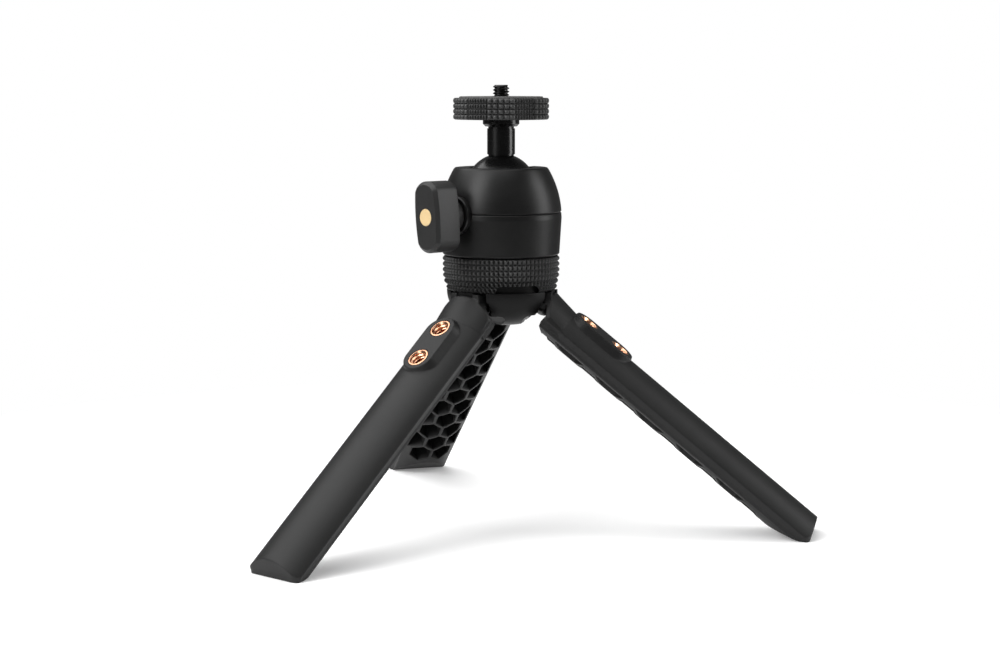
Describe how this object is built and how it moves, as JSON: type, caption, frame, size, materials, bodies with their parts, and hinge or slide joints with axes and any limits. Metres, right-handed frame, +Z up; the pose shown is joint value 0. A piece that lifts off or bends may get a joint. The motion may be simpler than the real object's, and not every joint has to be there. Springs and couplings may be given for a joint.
{
  "type": "mini tripod",
  "caption": "Table-top tripod with folding legs, a ball head with a drop slot and lock knob, and a knurled wheel that clamps a camera on its screw.",
  "frame": {"origin": "the point on the ground under the ball's centre, on the head's axis", "axes": "+Z up the head's axis, +Y along the rear leg, +X towards the right-hand leg's side"},
  "size_m": [0.2224, 0.1947, 0.1716],
  "materials": {
    "screw": "blackened",
    "wheel": "black anodised, knurled",
    "pad": "matte",
    "gloss_black": "polished, black anodised",
    "shell": "satin, black anodised",
    "seat": "matte",
    "steel": "plain",
    "boss": "blackened",
    "knob": "fine matte",
    "inlay": "satin",
    "leg": "fine matte grain",
    "insert": "bright copper colour"
  },
  "bodies": {
    "hub": {"hub": "shell", "knurled_collar": "wheel", "base_screw": "steel", "base_washer": "steel", "head_body": "shell", "head_cap": "shell", "ball_seat": "seat", "lock_boss": "boss", "hinge_pin_left": "boss", "hinge_pin_right": "boss", "hinge_pin_rear": "boss"},
    "ball": {"ball": "gloss_black"},
    "stem": {"stem": "gloss_black"},
    "camera_screw": {"camera_screw": "screw"},
    "wheel_pad": {"wheel_pad": "pad"},
    "clamp_wheel": {"clamp_wheel": "wheel"},
    "lock_screw": {"lock_screw": "steel", "brake_pad": "seat"},
    "lock_knob": {"knob_grip": "knob", "knob_inlay": "inlay"},
    "leg_left": {"leg_left": "leg", "insert_upper_left": "insert", "insert_lower_left": "insert"},
    "leg_right": {"leg_right": "leg", "insert_upper_right": "insert", "insert_lower_right": "insert"},
    "leg_rear": {"leg_rear": "leg", "insert_upper_rear": "insert", "insert_lower_rear": "insert"}
  },
  "joints": [
    {"name": "ball_side_tilt", "type": "hinge", "parent": "hub", "child": "ball", "pos_m": [0, 0, 0.1314], "axis": [0.7071, 0.7071, 0], "range_deg": [-22, 22]},
    {"name": "ball_tilt", "type": "hinge", "parent": "ball", "child": "stem", "pos_m": [0, 0, 0.1314], "axis": [-0.7071, 0.7071, 0], "range_deg": [-22, 90]},
    {"name": "ball_spin", "type": "hinge", "parent": "stem", "child": "camera_screw", "pos_m": [0, 0, 0.1314], "axis": [0, 0, 1], "continuous": true},
    {"name": "wheel_lift", "type": "slide", "parent": "camera_screw", "child": "wheel_pad", "axis": [0, 0, 1], "range_m": [0, 0.00255]},
    {"name": "wheel_turn", "type": "hinge", "parent": "wheel_pad", "child": "clamp_wheel", "pos_m": [0, 0, 0.1625], "axis": [0, 0, 1], "range_deg": [0, 720]},
    {"name": "knob_travel", "type": "slide", "parent": "hub", "child": "lock_screw", "axis": [-0.9063, -0.4226, 0], "range_m": [0, 0.001]},
    {"name": "knob_turn", "type": "hinge", "parent": "lock_screw", "child": "lock_knob", "pos_m": [0, 0, 0.1223], "axis": [-0.9063, -0.4226, 0], "range_deg": [0, 360]},
    {"name": "leg_left_fold", "type": "hinge", "parent": "hub", "child": "leg_left", "pos_m": [-0.01516, -0.00875, 0.0871], "axis": [0.5, -0.866, 0], "range_deg": [0, 51]},
    {"name": "leg_right_fold", "type": "hinge", "parent": "hub", "child": "leg_right", "pos_m": [0.01516, -0.00875, 0.0871], "axis": [0.5, 0.866, 0], "range_deg": [0, 51]},
    {"name": "leg_rear_fold", "type": "hinge", "parent": "hub", "child": "leg_rear", "pos_m": [0, 0.0175, 0.0871], "axis": [-1, 0, 0], "range_deg": [0, 51]}
  ],
  "couplings": [
    {"joint": "wheel_lift", "follows": "wheel_turn", "m_per_rad": 0.00020213},
    {"joint": "knob_travel", "follows": "knob_turn", "m_per_rad": 0.00015915}
  ]
}
